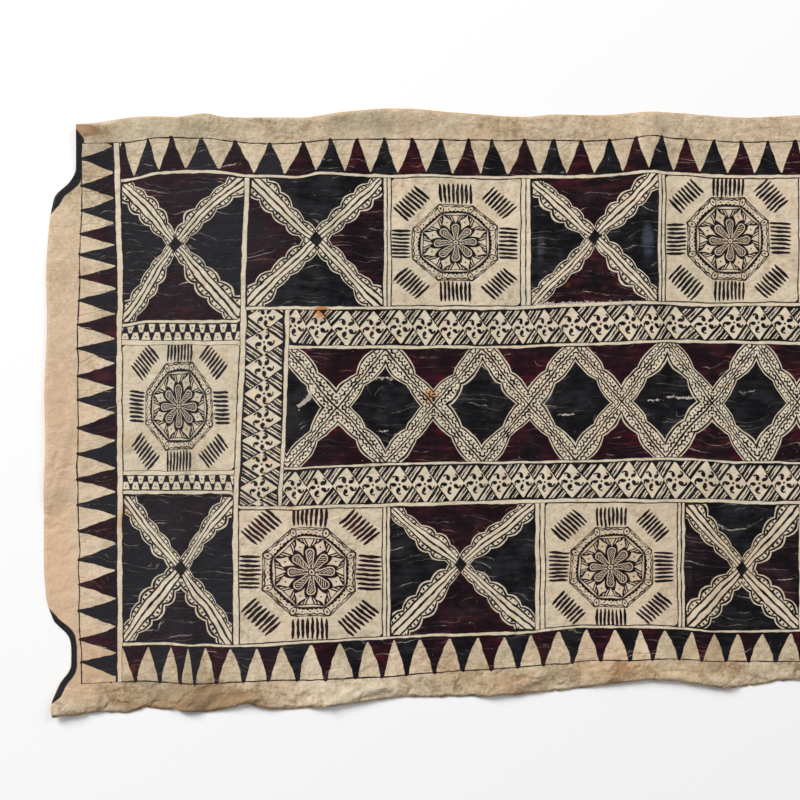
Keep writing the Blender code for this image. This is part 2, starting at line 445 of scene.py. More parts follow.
def line_places():
    """Every line of the drawing as a stop for the mesh: its name, its table and the side of it, so that a
    wide line gives two stops."""
    def stops(lines, first, last):
        found = [(first, None, 0.0)]
        for name, (half, table) in lines.items():
            sides = (-half, half) if half else (0.0,)
            found += [(name, table, side) for side in sides]
        return found + [(last, None, 0.0)]
    return stops(CROSS_LINES, "left end", "right end"), stops(LONG_LINES, "lower edge", "upper edge")


def waver(at, pitch, seed):
    """Smooth unevenness from -1 to 1 along one line."""
    return rolling(at, at * 0, pitch, 1, seed)


# The cloth's own edges. Columns: how far each stops short, where full size ends, the direction into the
# cloth, how ragged it is.
OWN_EDGES = {
    "left end": (LEFT_END, 0.0, 1, 0.15),
    "right end": (RIGHT_END, CLOTH_LENGTH, -1, 0.8),
    "lower edge": (LOWER_EDGE, 0.0, 1, 1.0),
    "upper edge": (UPPER_EDGE, CLOTH_WIDTH, -1, 0.15),
}


def stop_place(stop, at):
    """Place of a stop at each distance along it. The cloth's own edges are ragged, each by its own share,
    with a few deeper nicks. Both sides of every drawn line waver, each in its own way, by about a
    millimetre at most."""
    name, table, side = stop
    if name in OWN_EDGES:
        edge, full, inward, ragged = OWN_EDGES[name]
        rag = 0.8 * waver(at, 7, 21) + 1.1 * waver(at, 23, 22)
        rag = rag + 3.0 * np.maximum(waver(at, 9, 23) - 0.72, 0) / 0.28
        return full + inward * (curve_through(edge, at) + ragged * np.maximum(rag, -0.4))
    seed = 50 + 7 * len(table) + int(table[0][1]) % 40 + (3 if side > 0 else 0)
    return curve_through(table, at) + side + 0.75 * waver(at, 26, seed) + 0.45 * waver(at, 9, seed + 1)


def share_out(stops, total, middle):
    """For each mesh line, the stop before it and its share of the way to the next stop, and for each stop
    its mesh line. Stretches take cells by their width at the given distance along the stops, at least
    one, and the widest or narrowest take or give back what is left."""
    places = np.array([float(stop_place(stop, np.array([middle]))[0]) for stop in stops])
    widths = np.diff(places)
    counts = np.maximum(1, np.round(widths * total / widths.sum()).astype(int))
    while counts.sum() != total:
        step = 1 if counts.sum() < total else -1
        load = widths / np.maximum(counts + 0.5 * step, 0.25)
        load = np.where(counts > 1, load, load if step > 0 else np.inf)
        counts[np.argmax(load) if step > 0 else np.argmin(load)] += step
    before = np.repeat(np.arange(len(counts)), counts)
    share = np.concatenate([np.arange(n) / n for n in counts])
    starts = np.concatenate([[0], np.cumsum(counts)])
    return np.append(before, len(counts) - 1), np.append(share, 1.0), starts


class ClothGrid:
    """The drawing's lines as a grid of points. A point is where its mesh line along the cloth meets its
    mesh line across it, which takes a few rounds, because the lines of each kind bend with the other."""

    def __init__(self):
        self.cross, self.long = line_places()
        shared = share_out(self.cross, CELLS_LONG, CLOTH_WIDTH / 2)
        self.cross_before, self.cross_share, self.cross_start = shared
        shared = share_out(self.long, CELLS_WIDE, CLOTH_LENGTH / 2)
        self.long_before, self.long_share, self.long_start = shared
        shape = (CELLS_LONG + 1, CELLS_WIDE + 1)
        self.x = np.broadcast_to(np.linspace(0, CLOTH_LENGTH, shape[0])[:, None], shape).copy()
        self.y = np.broadcast_to(np.linspace(0, CLOTH_WIDTH, shape[1])[None, :], shape).copy()
        for _ in range(SETTLING_ROUNDS):
            self.x = self.settle(self.cross, self.cross_before, self.cross_share, self.y, 0)
            self.y = self.settle(self.long, self.long_before, self.long_share, self.x, 1)

    @staticmethod
    def settle(stops, before, share, at, axis):
        """New places along one axis, worked out for each stretch between two stops."""
        out = np.empty_like(at)
        for k in range(len(stops) - 1):
            mine = np.flatnonzero(before == k)
            pick = (mine, slice(None)) if axis == 0 else (slice(None), mine)
            part = share[mine][:, None] if axis == 0 else share[mine][None, :]
            start, end = stop_place(stops[k], at[pick]), stop_place(stops[k + 1], at[pick])
            out[pick] = start + part * (end - start)
        return out

    def column(self, name, side):
        """Mesh line of the left (-1) or right (1) side of a line that runs across the cloth."""
        return self.find(self.cross, self.cross_start, name, side)

    def row(self, name, side):
        """Mesh line of the lower (-1) or upper (1) side of a line that runs along the cloth."""
        return self.find(self.long, self.long_start, name, side)

    @staticmethod
    def find(stops, starts, name, side):
        """Mesh line of the first stop of that name, or of the last one for a side above 0."""
        found = [starts[k] for k, stop in enumerate(stops) if stop[0] == name]
        return found[-1] if side > 0 else found[0]


FINISHES = (
    "margin", "teeth", "plain line", "cross", "rosette", "pinwheels", "lattice", "steps", "underside",
)


class FaceDrawing:
    """What each face of the painted side carries: its finish, and for its four corners the place in its
    own drawing, the half size of that drawing, and its dyes."""

    def __init__(self, grid):
        self.grid = grid
        cells = (CELLS_LONG, CELLS_WIDE)
        self.finish = np.zeros(cells, dtype=int)
        self.place = np.zeros(cells + (4, 3))
        self.half = np.ones(cells + (4, 3))
        self.dyes = np.zeros(cells + (4, 3))

    def corners(self, values, i0, i1, j0, j1):
        """Values at the four corners of each face in the block, in the faces' own order."""
        a = values[i0:i1, j0:j1]
        b = values[i0 + 1:i1 + 1, j0:j1]
        c = values[i0 + 1:i1 + 1, j0 + 1:j1 + 1]
        d = values[i0:i1, j0 + 1:j1 + 1]
        return np.stack([a, b, c, d], axis=-1)

    def fill(self, finish, block, place, half=(1, 1, 0), dyes=(0, 0, 0)):
        """Give a block of faces a finish and a drawing. Its place is three arrays or numbers, and its half
        size and dyes are three numbers each, which every drawing uses in its own way."""
        i0, i1, j0, j1 = block
        self.finish[i0:i1, j0:j1] = FINISHES.index(finish)
        for k, values in enumerate(place):
            values = np.broadcast_to(values, self.grid.x.shape)
            self.place[i0:i1, j0:j1, :, k] = self.corners(values, i0, i1, j0, j1)
        self.half[i0:i1, j0:j1] = half
        self.dyes[i0:i1, j0:j1] = dyes

    def block(self, left, right, lower, upper):
        """Mesh lines between the inner sides of four named lines."""
        grid = self.grid
        return grid.column(left, 1), grid.column(right, -1), grid.row(lower, 1), grid.row(upper, -1)

    def shares(self, block):
        """How far along and up the block each point is, from 0 to 1."""
        i0, i1, j0, j1 = block
        x, y = self.grid.x, self.grid.y
        u = (x - x[i0]) / (x[i1] - x[i0])
        v = (y - y[:, j0:j0 + 1]) / (y[:, j1:j1 + 1] - y[:, j0:j0 + 1])
        return u, v

    def size(self, block):
        """Mean width and height of a block."""
        i0, i1, j0, j1 = block
        x, y = self.grid.x, self.grid.y
        return np.mean(x[i1, j0:j1 + 1] - x[i0, j0:j1 + 1]), np.mean(y[i0:i1 + 1, j1] - y[i0:i1 + 1, j0])


def index_along(values, places):
    """Number of the place, with the share of the way to the next one, carried on past both ends at the
    spacing there."""
    places = np.array(places, dtype=float)
    found = np.interp(values, places, np.arange(len(places)))
    first, last = places[1] - places[0], places[-1] - places[-2]
    found = np.where(values < places[0], (values - places[0]) / first, found)
    return np.where(values > places[-1], len(places) - 1 + (values - places[-1]) / last, found)


def draw_lines(drawing):
    """Plain bark lines between dark outlines, some with a third dark line along their middle. Their place
    is the distance along and the distance across from the middle. Their half size holds the half width,
    whether they are outlined and whether they have a middle line."""
    grid = drawing.grid
    x, y = grid.x, grid.y

    def along_cloth(name, left, right, outlined=1):
        block = (grid.column(left, 1), grid.column(right, -1), grid.row(name, -1), grid.row(name, 1))
        v = drawing.shares(block)[1]
        half = LONG_LINES[name][0]
        drawing.fill("plain line", block, (x, (2 * v - 1) * half, 0), (half, outlined, 0))

    def across_cloth(name, lower, upper, middle=0):
        block = (grid.column(name, -1), grid.column(name, 1), grid.row(lower, 1), grid.row(upper, -1))
        u = drawing.shares(block)[0]
        half = CROSS_LINES[name][0]
        drawing.fill("plain line", block, (y, (2 * u - 1) * half, 0), (half, 1, middle))

    for name in ("left line", "right line"):
        across_cloth(name, "lower frame", "upper frame")
    for name in ("lower line", "upper line"):
        along_cloth(name, "left line", "right line")
    for name in ("column line", "far column line"):
        across_cloth(name, "lower line", "upper line")
    for left, right in (("left line", "column line"), ("far column line", "right line")):
        for name in ("line under cells", "line over lower cells"):
            along_cloth(name, left, right)
        for name in ("line over lattice", "line under lattice"):
            along_cloth(name, left, right, outlined=0)
    for name in ("line under cells", "line over lower cells"):
        along_cloth(name, "column line", "far column line")
    for name in ("lattice left", "lattice right"):
        across_cloth(name, "line over lower cells", "line under cells")
    for name in ("line over lattice", "line under lattice"):
        along_cloth(name, "lattice left", "lattice right")
    for name in ("bars one", "bars two", "bars three", "bars four"):
        across_cloth(name, "line under cells", "upper line", middle=1)
        across_cloth(name, "lower line", "line over lower cells", middle=1)


def draw_teeth(drawing):
    """Four rows of teeth. Their place is the number of the tooth and the share of the way from its foot to
    its tip. Their half size holds the depth of the row and the shape of the teeth, and their dyes whether
    the first tooth is maroon and the number from which teeth are drawn."""
    grid = drawing.grid
    x, y = grid.x, grid.y
    blocks = {
        "left": (grid.column("left frame", 0), grid.column("left line", -1),
                 grid.row("lower frame", 1), grid.row("upper frame", -1)),
        "right": (grid.column("right line", 1), grid.column("right frame", 0),
                  grid.row("lower frame", 1), grid.row("upper frame", -1)),
        "upper": (grid.column("left line", 1), grid.column("right line", -1),
                  grid.row("upper line", 1), grid.row("upper frame", -1)),
        "lower": (grid.column("left line", 1), grid.column("right line", -1),
                  grid.row("lower frame", 1), grid.row("lower line", -1)),
    }
    for name, block in blocks.items():
        tips, first_maroon = TEETH[name]
        u, v = drawing.shares(block)
        rise = {"left": 1 - u, "right": u, "upper": v, "lower": 1 - v}[name]
        width, height = drawing.size(block)
        along, deep = (y, width) if name in ("left", "right") else (x, height)
        hollow, blunt, first_whole = TOOTH_SHAPES[name]
        drawing.fill("teeth", block, (index_along(along, tips), rise, 0), (deep, hollow, blunt),
                     (first_maroon, first_whole, 0))


def draw_cells(drawing):
    """Crosses and rosettes. A cross is drawn in a rectangle whose middle is moved to the cell's own
    middle; a rosette is drawn about its middle, stretched to its own octagon."""
    grid = drawing.grid
    for left, right, lower, upper, middle_x, middle_y, red_ends, red_sides in CROSSES:
        block = drawing.block(left, right, lower, upper)
        i0, i1, j0, j1 = block
        u, v = drawing.shares(block)
        width, height = drawing.size(block)
        inner = grid.x[i0, j0:j1].mean(), grid.y[i0:i1, j0].mean()
        share_x = np.clip((middle_x - inner[0]) / width, 0.3, 0.7)
        share_y = np.clip((middle_y - inner[1]) / height, 0.3, 0.7)
        across = np.interp(u, (0, share_x, 1), (-1, 0, 1)) * width / 2
        up = np.interp(v, (0, share_y, 1), (-1, 0, 1)) * height / 2
        drawing.fill("cross", block, (across, up, 0), (width / 2, height / 2, 0),
                     (red_ends, red_sides, 0))
    for left, right, lower, upper, middle_x, middle_y, half_x, half_y, red in ROSETTES:
        block = drawing.block(left, right, lower, upper)
        u, v = drawing.shares(block)
        width, height = drawing.size(block)
        edge = np.minimum(np.minimum(u, 1 - u) * width, np.minimum(v, 1 - v) * height)
        across = (grid.x - middle_x) / half_x * OCTAGON
        up = (grid.y - middle_y) / half_y * OCTAGON
        drawing.fill("rosette", block, (across, up, edge), dyes=(red, 0, 0))


def draw_middle(drawing):
    """The pinwheel bands, the lattice between them and the stepped strips at the two ends. The place in a
    band is the number of the lozenge and the share of the way from the band's middle to its sides, and its
    half size holds the pitch of the lozenges and the band's breadth. The lattice has the number of the
    diamond and the distance from its middle; the steps have the distance along and the same share."""
    grid = drawing.grid
    bands = (("line over lattice", "line under cells"), ("line over lower cells", "line under lattice"))
    for lower, upper in bands:
        block = drawing.block("lattice left", "lattice right", lower, upper)
        v = drawing.shares(block)[1]
        number = index_along(grid.x, LOZENGES["along"])
        breadth = drawing.size(block)[1]
        drawing.fill("pinwheels", block, (number, 2 * v - 1, 0), (LOZENGE_PITCH_ALONG, breadth, 0))
    for left, right in (("column line", "lattice left"), ("lattice right", "far column line")):
        block = drawing.block(left, right, "line over lower cells", "line under cells")
        u = drawing.shares(block)[0]
        number = index_along(grid.y, LOZENGES["up"])
        breadth = drawing.size(block)[0]
        drawing.fill("pinwheels", block, (number, 1 - 2 * u, 0), (LOZENGE_PITCH_UP, breadth, 0))
    block = drawing.block("lattice left", "lattice right", "line under lattice", "line over lattice")
    v = drawing.shares(block)[1]
    height = drawing.size(block)[1]
    number = index_along(grid.x, LATTICE_TIPS)
    drawing.fill("lattice", block, (number, (2 * v - 1) * height / 2, 0), (LATTICE_PITCH, height, 0))
    for left, right in (("left line", "column line"), ("far column line", "right line")):
        for lower, upper in bands:
            block = drawing.block(left, right, lower, upper)
            v = drawing.shares(block)[1]
            drawing.fill("steps", block, (grid.x, 2 * v - 1, 0), (drawing.size(block)[1], 0, 0))


def draw_margin(drawing):
    """The bare margin outside the frame line: the distance from that line, the distance from the left
    end at right angles to it, and the number of the tooth."""
    grid = drawing.grid
    x, y = grid.x, grid.y
    left, right = grid.column("left frame", 0), grid.column("right frame", 0)
    low, high = grid.row("lower frame", 0), grid.row("upper frame", 0)
    out_x = np.maximum(np.maximum(x[left] - x, x - x[right]), 0)
    out_y = np.maximum(np.maximum(y[:, low:low + 1] - y, y - y[:, high:high + 1]), 0)
    slope = np.gradient(x[0], y[0])
    from_end = (x - x[0]) / np.sqrt(1 + slope * slope)
    around = np.hypot(out_x, out_y)
    blocks = {
        "lower": (x, around, (0, CELLS_LONG, 0, low)),
        "upper": (x, around, (0, CELLS_LONG, high, CELLS_WIDE)),
        "left": (y, out_x, (0, left, low, high)),
        "right": (y, out_x, (right, CELLS_LONG, low, high)),
    }
    for name, (along, out, block) in blocks.items():
        tips, first_maroon = TEETH[name]
        number = np.clip(index_along(along, tips), -0.5, len(tips) - 0.5)
        drawing.fill("margin", block, (out, from_end, number), dyes=(first_maroon, 0, 0))


def tone_of_the_bark(x, y):
    """Three values at each point: how much lighter, how stained and how grey the bark is, from the table
    of patches and a slow unevenness. The lighter value also holds painted shade between folds, and the
    grey value a painted sheen on the black dye."""
    tone = np.zeros(x.shape + (3,))
    tone[..., 0] = 0.30 * rolling(x, y, 110, 80, 31) + 0.2 * rolling(x, y, 38, 30, 32)
    tone[..., 2] = 0.30 * rolling(x, y, 150, 120, 33)
    wander_x = rolling(x, y, 25, 25, 34)
    wander_y = rolling(x, y, 25, 25, 35)
    for x0, y0, reach_x, reach_y, lighter, stained, grey_and_sheen in PATCHES:
        stray = min(9.0, 0.25 * reach_x, 0.4 * reach_y)
        near = np.hypot((x + stray * wander_x - x0) / reach_x, (y + stray * wander_y - y0) / reach_y)
        near = soft_bump(near, 1.3)
        tone += near[..., None] * np.array((lighter, stained, grey_and_sheen))
    starts, lighter, grey_and_sheen = np.array(STRIPS).T
    strip = np.searchsorted(starts, x + 2.5 * rolling(x, y, 40, 40, 36), side="right") - 1
    # Painted shade: the strips between folds are lighter and darker in turn.
    tone[..., 0] += lighter[strip]
    tone[..., 2] += grey_and_sheen[strip]
    return tone


def wrinkling(grid):
    """Two values at each point: how wrinkled the bark is, which is most in the lower margin and sets the
    relief of the wrinkles and their painted shade, and the distance from the nearest edge."""
    x, y = grid.x, grid.y
    from_below, from_above = y - y[:, :1], y[:, -1:] - y
    from_edge = np.minimum(np.minimum(from_below, from_above), np.minimum(x - x[:1], x[-1:] - x))
    wrinkled = 0.30 + 0.95 * soft_bump(from_below, 62) + 0.12 * soft_bump(from_above, 60)
    wrinkled += 0.25 * rolling(x, y, 70, 60, 37)
    return np.clip(wrinkled, 0.08, 1.3), from_edge


def rubbing_of_the_dye(x, y):
    """Share of the dye that is rubbed off at each point."""
    rubbed = np.zeros_like(x)
    wander = 2.0 * rolling(x, y, 14, 14, 41)
    for x0, y0, x1, y1, half_width, share in RUBBED:
        away = along_segment(x + wander, y + wander, x0, y0, x1, y1)[1]
        rubbed = np.maximum(rubbed, share * soft_bump(away, half_width * 1.5))
    return rubbed


def cloth_mesh(grid, drawing):
    """The closed sheet: the fine painted side, the underside with every second line of it, and a rim that
    joins them. Its points are the grid's, lifted onto the folds, and the painted side stands the
    thickness higher."""
    lift = lift_of_the_cloth(grid.x, grid.y)
    x, y = grid.x * MM - CLOTH_LENGTH * MM / 2, grid.y * MM - CLOTH_WIDTH * MM / 2
    fine = np.stack([x, y, (lift + THICKNESS) * MM], axis=-1)
    coarse = np.stack([x, y, lift * MM], axis=-1)[::2, ::2]
    n, m = grid.x.shape
    top = np.arange(n * m).reshape(n, m)
    under = n * m + np.arange(coarse.shape[0] * coarse.shape[1]).reshape(coarse.shape[:2])
    upper_faces = np.stack([top[:-1, :-1], top[1:, :-1], top[1:, 1:], top[:-1, 1:]], axis=-1)
    under_faces = np.stack([under[:-1, :-1], under[:-1, 1:], under[1:, 1:], under[1:, :-1]], axis=-1)
    rim = []
    for outer, inner, turn in ((top[:, 0], under[:, 0], 1), (top[:, -1], under[:, -1], -1),
                               (top[0], under[0], -1), (top[-1], under[-1], 1)):
        a, b, c, p, q = outer[:-2:2], outer[1:-1:2], outer[2::2], inner[:-1], inner[1:]
        for triangle in ((p, b, a), (p, q, b), (q, c, b)):
            rim.append(np.stack(triangle[::turn], axis=-1))
    rim = np.concatenate(rim)
    quads = np.concatenate([upper_faces.reshape(-1, 4), under_faces.reshape(-1, 4)])
    points = np.concatenate([fine.reshape(-1, 3), coarse.reshape(-1, 3)])

    mesh = bpy.data.meshes.new("tapa_cloth")
    loops = np.concatenate([quads.ravel(), rim.ravel()])
    sizes = np.concatenate([np.full(len(quads), 4), np.full(len(rim), 3)])
    mesh.vertices.add(len(points))
    mesh.vertices.foreach_set("co", points.ravel())
    mesh.loops.add(len(loops))
    mesh.loops.foreach_set("vertex_index", loops)
    mesh.polygons.add(len(sizes))
    mesh.polygons.foreach_set("loop_start", np.concatenate([[0], np.cumsum(sizes)[:-1]]))
    mesh.polygons.foreach_set("loop_total", sizes)
    mesh.update(calc_edges=True)

    painted = (n - 1) * (m - 1)
    finish = np.full(len(sizes), FINISHES.index("underside"))
    finish[:painted] = drawing.finish.ravel()
    mesh.polygons.foreach_set("material_index", finish)
    smooth = np.ones(len(sizes), dtype=bool)
    smooth[len(quads):] = False
    mesh.polygons.foreach_set("use_smooth", smooth)

    def corner_values(name, values):
        whole = np.zeros((len(loops), 3))
        whole[:painted * 4] = values.reshape(-1, 3)
        mesh.attributes.new(name, "FLOAT_VECTOR", "CORNER").data.foreach_set("vector", whole.ravel())

    corner_values("place", drawing.place)
    corner_values("half", drawing.half)
    corner_values("dyes", drawing.dyes)

    def point_values(name, values):
        whole = np.concatenate([values.reshape(-1, 3), values[::2, ::2].reshape(-1, 3)])
        mesh.attributes.new(name, "FLOAT_VECTOR", "POINT").data.foreach_set("vector", whole.ravel())

    point_values("tone", tone_of_the_bark(grid.x, grid.y))
    rubbed = rubbing_of_the_dye(grid.x, grid.y)
    point_values("rubbed", np.stack([rubbed, *wrinkling(grid)], axis=-1))

    lay_out_map(mesh, points, loops, painted * 4, len(quads) * 4)
    mesh.validate()
    return mesh


def lay_out_map(mesh, points, loops, painted_end, under_end):
    """Map of the cloth: the painted side fills most of it, the underside a strip above, the rim a line at
    the top, each seen from straight above."""
    flat = points[:, :2] / (np.array((CLOTH_LENGTH, CLOTH_WIDTH)) * MM) + 0.5
    chart = np.clip(flat[loops], 0, 1)
    u = 0.004 + 0.992 * chart[:, 0]
    v = np.empty_like(u)
    for start, end, foot, tall in ((0, painted_end, 0.004, 0.900), (painted_end, under_end, 0.912, 0.070),
                                   (under_end, len(loops), 0.988, 0.008)):
        v[start:end] = foot + tall * chart[start:end, 1]
    layer = mesh.uv_layers.new(name="OFBake")
    layer.data.foreach_set("uv", np.stack([u, v], axis=-1).astype(np.float32).ravel())


class Wire:
    """A value in a material. Sums, products and the functions below make the nodes that work it out."""

    def __init__(self, tree, socket):
        self.tree, self.socket = tree, socket

    def math(self, operation, *others, clamp=False):
        node = self.tree.nodes.new("ShaderNodeMath")
        node.operation = operation
        node.use_clamp = clamp
        for socket, value in zip(node.inputs, (self,) + others):
            feed(self.tree, socket, value)
        return Wire(self.tree, node.outputs[0])

    def __add__(self, other):
        return self.math("ADD", other)

    def __sub__(self, other):
        return self.math("SUBTRACT", other)

    def __rsub__(self, other):
        return self.math("MULTIPLY_ADD", -1.0, other)

    def __mul__(self, other):
        return self.math("MULTIPLY", other)

    def __truediv__(self, other):
        return self.math("DIVIDE", other)

    def __abs__(self):
        return self.math("ABSOLUTE")

    __radd__ = __add__
    __rmul__ = __mul__


def feed(tree, socket, value):
    """Set a socket to a number or colour, or link a wire to it."""
    if isinstance(value, Wire):
        tree.links.new(value.socket, socket)
    else:
        socket.default_value = value


def ramp(value, start, end, low=0.0, high=1.0):
    """Smooth step of a value between two places."""
    node = value.tree.nodes.new("ShaderNodeMapRange")
    node.interpolation_type = "SMOOTHSTEP"
    for socket, given in zip(node.inputs, (value, start, end, low, high)):
        feed(value.tree, socket, given)
    return Wire(value.tree, node.outputs[0])


def inside(value, limit, soft=SOFT):
    """1 where the value is under the limit, 0 where it is over it, with a soft edge of ink."""
    return ramp(value, limit - soft, limit + soft, 1.0, 0.0)


def stroke(value, at, half_width, soft=SOFT):
    """1 on a line where the value is near the given one."""
    return inside(abs(value - at), half_width, soft)


def either(*masks):
    """The greatest of some masks."""
    found = masks[0]
    for mask in masks[1:]:
        found = found.math("MAXIMUM", mask)
    return found


def without(mask, *holes):
    """A mask with others taken out of it."""
    for hole in holes:
        mask = mask * (1.0 - hole)
    return mask


def blend(share, start, end):
    """Value between two others."""
    return start + share * (end - start)


def repeat(value, pitch):
    """Distance from the nearest of a row of places that are a pitch apart, with its sign."""
    return value.math("WRAP", pitch / 2, -pitch / 2)


def folded(value, pitch):
    """Distance from the nearest of a row of places that are a pitch apart."""
    return value.math("PINGPONG", pitch / 2)


def length(a, b):
    """Length of a vector of two values."""
    return (a * a + b * b).math("SQRT")


def reading(tree, name):
    """The three values of one of the mesh's own attributes."""
    node = tree.nodes.new("ShaderNodeAttribute")
    node.attribute_name = name
    return split(tree, node.outputs["Vector"])


def split(tree, socket):
    """The three parts of a vector."""
    node = tree.nodes.new("ShaderNodeSeparateXYZ")
    tree.links.new(socket, node.inputs[0])
    return tuple(Wire(tree, out) for out in node.outputs)


def noise(tree, vector, scale, detail=2.0, rough=0.5):
    """Noise about the given vector, from 0 to 1, and its coloured form as a vector."""
    node = tree.nodes.new("ShaderNodeTexNoise")
    tree.links.new(vector.socket, node.inputs["Vector"])
    node.inputs["Scale"].default_value = scale
    node.inputs["Detail"].default_value = detail
    node.inputs["Roughness"].default_value = rough
    return Wire(tree, node.outputs["Fac"]), node.outputs["Color"]


def object_place(tree):
    """Place on the cloth in metres."""
    node = tree.nodes.new("ShaderNodeTexCoord")
    return Wire(tree, node.outputs["Object"])


def stretched(tree, vector, x, y):
    """A vector scaled along the cloth and across it."""
    node = tree.nodes.new("ShaderNodeMapping")
    node.inputs["Scale"].default_value = (x, y, 1.0)
    tree.links.new(vector.socket, node.inputs["Vector"])
    return Wire(tree, node.outputs[0])


def wobbling(tree, amount):
    """How far a hand-drawn line strays along the cloth and across it, in millimetres: a slow drift, a sway
    and a small tremble."""
    where = object_place(tree)
    drift = split(tree, noise(tree, where, 17.0, 0.0)[1])
    sway = split(tree, noise(tree, where, 52.0, 1.0)[1])
    tremble = split(tree, noise(tree, where, 230.0, 0.0)[1])
    strays = []
    for slow, middle, quick in zip(drift[:2], sway[:2], tremble[:2]):
        strays.append(((slow - 0.5) * 7.0 + (middle - 0.5) * 3.0 + (quick - 0.5) * 0.6) * amount)
    return tuple(strays)


def pen_weight(tree):
    """Share by which a drawn line is thicker or thinner than usual, from about -0.5 to 0.5."""
    return (noise(tree, object_place(tree), 95.0, 1.0)[0] - 0.5) * 2.4


def mix_colour(tree, share, start, end):
    """Colour between two others."""
    node = tree.nodes.new("ShaderNodeMix")
    node.data_type = "RGBA"
    feed(tree, node.inputs[MIX_SHARE], share)
    for socket, value in zip((node.inputs[MIX_START], node.inputs[MIX_END]), (start, end)):
        feed(tree, socket, value if isinstance(value, Wire) else tuple(value) + (1.0,))
    return Wire(tree, node.outputs[MIX_RESULT])


def bark_group():
    """Shared finish: beaten bark under dye. It takes the share of dye, how maroon the dye is, how far it
    is a painted field, which cracks, and how much creamier the bark is. It gives the colour, the
    roughness and the surface's slope. The colour holds painted shade along the wrinkles and between
    folds, a painted sheen on the dye and painted glints on its creases."""
    tree = bpy.data.node_groups.new("bark and dye", "ShaderNodeTree")
    taken = ("Dye", "Maroon", "Field", "Cream")
    for name in taken:
        tree.interface.new_socket(name, in_out="INPUT", socket_type="NodeSocketFloat")
    for name, kind in (("Color", "Color"), ("Roughness", "Float"), ("Normal", "Vector")):
        tree.interface.new_socket(name, in_out="OUTPUT", socket_type="NodeSocket" + kind)
    given = tree.nodes.new("NodeGroupInput")
    handed = tree.nodes.new("NodeGroupOutput")
    dye, maroon, field, cream = (Wire(tree, given.outputs[name]) for name in taken)
    where = object_place(tree)
    lighter, stained, grey_and_sheen = reading(tree, "tone")
    rubbed, wrinkled, from_edge = reading(tree, "rubbed")

    slow = noise(tree, where, 15.0, 5.0, 0.62)[0]
    fibres = noise(tree, stretched(tree, where, 70.0, 330.0), 1.0, 3.0, 0.65)[0]
    blotches = noise(tree, where, 75.0, 3.0, 0.6)[0]
    grain = noise(tree, where, 620.0, 2.0, 0.65)[0]
    specks = noise(tree, where, 240.0, 3.0, 0.6)[0]
    bend = noise(tree, where, 21.0, 3.0, 0.6)[1]
    pillow = ramp(pillows(tree, stretched(tree, where, 0.60, 1.0), bend, 36.0, 0.055), 0.0, 0.22)

    light = lighter * 0.5 + cream + (slow - 0.5) * 2.7 + (fibres - 0.5) * 1.3 + (blotches - 0.5) * 1.9
    # Painted shade: the bark is darker along the wrinkles of the net, most where it is most wrinkled, in
    # the lower margin.
    light = light + (pillow - 0.9) * wrinkled * 0.42
    light = light + (grain - 0.5) * 1.7 + (specks - 0.5) * 2.2
    bark = mix_colour(tree, ramp(light, -0.55, 0.85), BARK_MID, BARK_PALE)
    bark = mix_colour(tree, ramp(light, -0.25, -1.4), bark, BARK_DEEP)
    bark = mix_colour(tree, (grey_and_sheen + slow - 0.45).math("MULTIPLY", 0.5, clamp=True), bark, BARK_GREY)
    bark = mix_colour(tree, (grey_and_sheen * -0.5).math("MULTIPLY", 1.6, clamp=True), bark, BARK_PINK)
    creamy = (cream * ramp(blotches, 0.3, 0.6)).math("MULTIPLY", 0.7, clamp=True)
    bark = mix_colour(tree, creamy, bark, BARK_CREAM)
    hue = split(tree, bend)
    bark = mix_colour(tree, ramp(hue[0], 0.52, 0.68) * 0.30, bark, BARK_PINK)
    bark = mix_colour(tree, ramp(hue[1], 0.52, 0.68) * 0.30, bark, BARK_GREY)
    soaked = stained * ramp(specks, 0.25, 0.6, 0.45, 0.9)
    bark = mix_colour(tree, soaked.math("MAXIMUM", 0.0, clamp=True), bark, STAIN)
    flecks = ramp(specks, 0.66, 0.74) * ramp(slow, 0.42, 0.6)
    bark = mix_colour(tree, flecks * 0.5, bark, BARK_DEEP)
    ply = stroke(from_edge + (blotches - 0.5) * 3.5, 2.6, 0.28, 0.3) * ramp(slow, 0.42, 0.56)
    bark = mix_colour(tree, ply * 0.6 * wrinkled, bark, BARK_DEEP)
    bark = mix_colour(tree, ramp(from_edge, 2.4, 0.4) * 0.4, bark, STAIN)

    from_left, across, _ = split(tree, where.socket)
    brush = noise(tree, stretched(tree, where, 24.0, 150.0), 1.0, 3.0, 0.65)[0]
    cloud = noise(tree, where, 34.0, 3.0, 0.6)[0]
    # Painted sheen: the dye grows greyer towards the left end, the black through its worn colour and the
    # maroon through its greyed one. Brush and cloud noise add worn streaks to the black.
    left_end_sheen = ramp(from_left, -0.30, -0.52, 0.0, 0.34)
    deep = mix_colour(tree, ramp(brush * 0.6 + cloud * 0.9 + left_end_sheen, 0.62, 1.0), BLACK_DYE, BLACK_WEAR_AND_SHEEN)
    # Painted sheen: a bluish highlight on the black dye where the grey value is over 0.9, streaked by the
    # brush.
    sheen = ((grey_and_sheen - 0.9) * (brush * 2.6 - 0.5)).math("MULTIPLY", 1.1, clamp=True)
    deep = mix_colour(tree, sheen, deep, BLACK_SHEEN)
    warm = mix_colour(tree, ramp(brush * 0.7 + cloud * 0.8, 0.71, 1.05), MAROON_DYE, MAROON_BRIGHT)
    warm = mix_colour(tree, (stained - 0.35).math("MULTIPLY", 1.2, clamp=True), warm, MAROON_LIT)
    warm = mix_colour(tree, (left_end_sheen * 1.5 * cloud).math("MINIMUM", 1.0), warm, MAROON_SHEEN)
    patchy = maroon * ramp(cloud + (slow - 0.5) * 0.8, 0.30, 0.56, 0.45, 1.0)
    colour_of_dye = mix_colour(tree, patchy, deep, warm)

